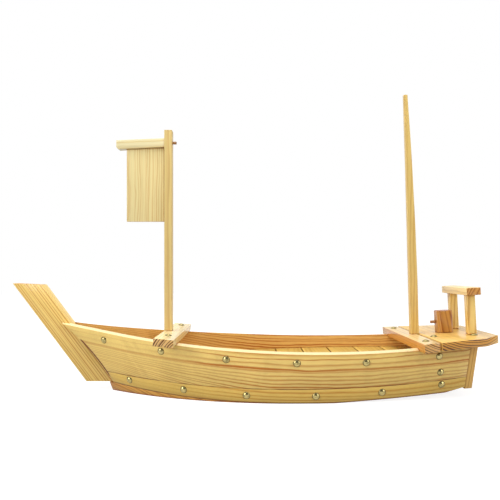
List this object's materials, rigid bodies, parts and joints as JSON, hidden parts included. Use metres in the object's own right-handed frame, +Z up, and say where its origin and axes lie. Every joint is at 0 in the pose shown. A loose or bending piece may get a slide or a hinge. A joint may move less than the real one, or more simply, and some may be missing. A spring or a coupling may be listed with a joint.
{
  "type": "wooden serving boat",
  "caption": "Boat-shaped wooden serving tray: bent planks with dome nails, slatted floor, raked stem, two masts, a board sail, and a deck with gate and bollard.",
  "frame": {"origin": "middle of the overall box at the height of the rest face", "axes": "+Z up, +X from the bow to the stern, +Y to starboard"},
  "size_m": [0.6515, 0.214, 0.4129],
  "materials": {
    "hull_pine": "varnished",
    "deck_pine": "varnished",
    "stem_pine": "varnished",
    "floor_pine": "varnished",
    "mast_pine": "varnished",
    "sail_pine": "varnished",
    "bollard_wood": "varnished",
    "red_wood": "varnished",
    "antique_brass": "antique, domed"
  },
  "bodies": {
    "root": {"port_upper_strake": "hull_pine", "port_lower_strake": "hull_pine", "port_floor_bearer": "floor_pine", "port_gate_post": "deck_pine", "starboard_upper_strake": "hull_pine", "starboard_lower_strake": "hull_pine", "starboard_floor_bearer": "floor_pine", "starboard_gate_post": "deck_pine", "bottom_board": "hull_pine", "stem_post": "stem_pine", "transom": "hull_pine", "aft_bulkhead": "floor_pine", "bow_floor_bearer": "floor_pine", "floor_slat_01": "floor_pine", "floor_slat_02": "floor_pine", "floor_slat_03": "floor_pine", "floor_slat_04": "floor_pine", "floor_slat_05": "floor_pine", "floor_slat_06": "floor_pine", "floor_slat_07": "floor_pine", "floor_slat_08": "floor_pine", "floor_slat_09": "floor_pine", "floor_slat_10": "floor_pine", "floor_slat_11": "floor_pine", "fore_beam": "deck_pine", "aft_beam": "deck_pine", "aft_deck": "deck_pine", "gate_lintel": "deck_pine", "fore_mast": "mast_pine", "aft_mast": "mast_pine", "sail_panel": "sail_pine", "sail_yard": "sail_pine", "bollard": "bollard_wood", "bollard_peg": "red_wood", "yard_dowel": "red_wood", "dome_nails": "antique_brass"}
  },
  "joints": []
}
